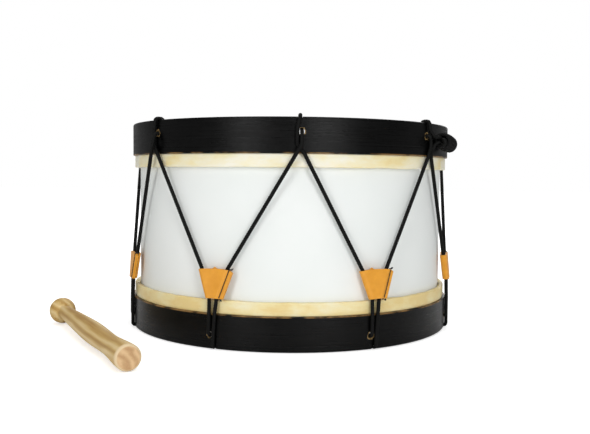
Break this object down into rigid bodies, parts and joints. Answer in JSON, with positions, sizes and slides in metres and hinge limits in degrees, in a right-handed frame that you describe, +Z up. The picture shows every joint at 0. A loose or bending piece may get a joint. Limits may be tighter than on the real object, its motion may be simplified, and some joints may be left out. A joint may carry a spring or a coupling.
{
  "type": "rope-tensioned drum",
  "caption": "Two-headed rope-tensioned hand drum with black counterhoops, laced cord, sliding leather tugs and a turned wooden beater.",
  "frame": {"origin": "centre of the lower rim, on the floor that the drum stands on, on the drum's axis", "axes": "+Z up along the drum's axis, -Y towards the front, where the first laced V and the seam of the tugs are seen, +X to the right of the front"},
  "size_m": [0.3967, 0.3866, 0.1978],
  "materials": {
    "shell_white": "smooth white laminate over the wooden shell, satin",
    "bare_wood": "raw bent wood",
    "black_wood": "brushed black paint, satin, worn brown at the edges",
    "rawhide": "dry rawhide, matt, blotched yellow",
    "black_cord": "braided cord",
    "tug_leather": "smooth tan leather, satin",
    "sewing_thread": "waxed thread",
    "beater_wood": "turned pale pine, bare"
  },
  "bodies": {
    "drum": {"shell": "shell_white", "ring_upper": "bare_wood", "ring_lower": "bare_wood", "head_upper": "rawhide", "head_lower": "rawhide", "flesh_hoop_upper": "bare_wood", "flesh_hoop_lower": "bare_wood", "counterhoop_upper": "black_wood", "counterhoop_lower": "black_wood", "cord_1": "black_cord", "cord_2": "black_cord", "cord_3": "black_cord", "cord_4": "black_cord", "cord_5": "black_cord", "cord_6": "black_cord", "cord_7": "black_cord", "cord_hank": "black_cord"},
    "tug_slider_1": {"tug_1": "tug_leather", "tug_thread_1": "sewing_thread"},
    "tug_slider_2": {"tug_2": "tug_leather", "tug_thread_2": "sewing_thread"},
    "tug_slider_3": {"tug_3": "tug_leather", "tug_thread_3": "sewing_thread"},
    "tug_slider_4": {"tug_4": "tug_leather", "tug_thread_4": "sewing_thread"},
    "tug_slider_5": {"tug_5": "tug_leather", "tug_thread_5": "sewing_thread"},
    "tug_slider_6": {"tug_6": "tug_leather", "tug_thread_6": "sewing_thread"},
    "tug_slider_7": {"tug_7": "tug_leather", "tug_thread_7": "sewing_thread"},
    "beater": {"beater": "beater_wood"}
  },
  "joints": [
    {"name": "tug_slide_1", "type": "slide", "parent": "drum", "child": "tug_slider_1", "axis": [-0.0499, 0.0958, 0.9942], "range_m": [-0.012, 0.018], "deforming": ["cord_1"]},
    {"name": "tug_slide_2", "type": "slide", "parent": "drum", "child": "tug_slider_2", "axis": [-0.1045, 0.0271, 0.9942], "range_m": [-0.012, 0.018], "deforming": ["cord_2"]},
    {"name": "tug_slide_3", "type": "slide", "parent": "drum", "child": "tug_slider_3", "axis": [-0.0823, -0.07, 0.9942], "range_m": [-0.012, 0.018], "deforming": ["cord_3"]},
    {"name": "tug_slide_4", "type": "slide", "parent": "drum", "child": "tug_slider_4", "axis": [0.0034, -0.1079, 0.9942], "range_m": [-0.012, 0.018], "deforming": ["cord_4"]},
    {"name": "tug_slide_5", "type": "slide", "parent": "drum", "child": "tug_slider_5", "axis": [0.0865, -0.0647, 0.9942], "range_m": [-0.012, 0.018], "deforming": ["cord_5"]},
    {"name": "tug_slide_6", "type": "slide", "parent": "drum", "child": "tug_slider_6", "axis": [0.1026, 0.0337, 0.9942], "range_m": [-0.012, 0.018], "deforming": ["cord_6"]},
    {"name": "tug_slide_7", "type": "slide", "parent": "drum", "child": "tug_slider_7", "axis": [0.0438, 0.0987, 0.9942], "range_m": [-0.012, 0.018], "deforming": ["cord_7"]},
    {"name": "beater_lift", "type": "slide", "parent": "drum", "child": "beater", "axis": [0, 0, 1], "range_m": [0, 0.25]}
  ]
}
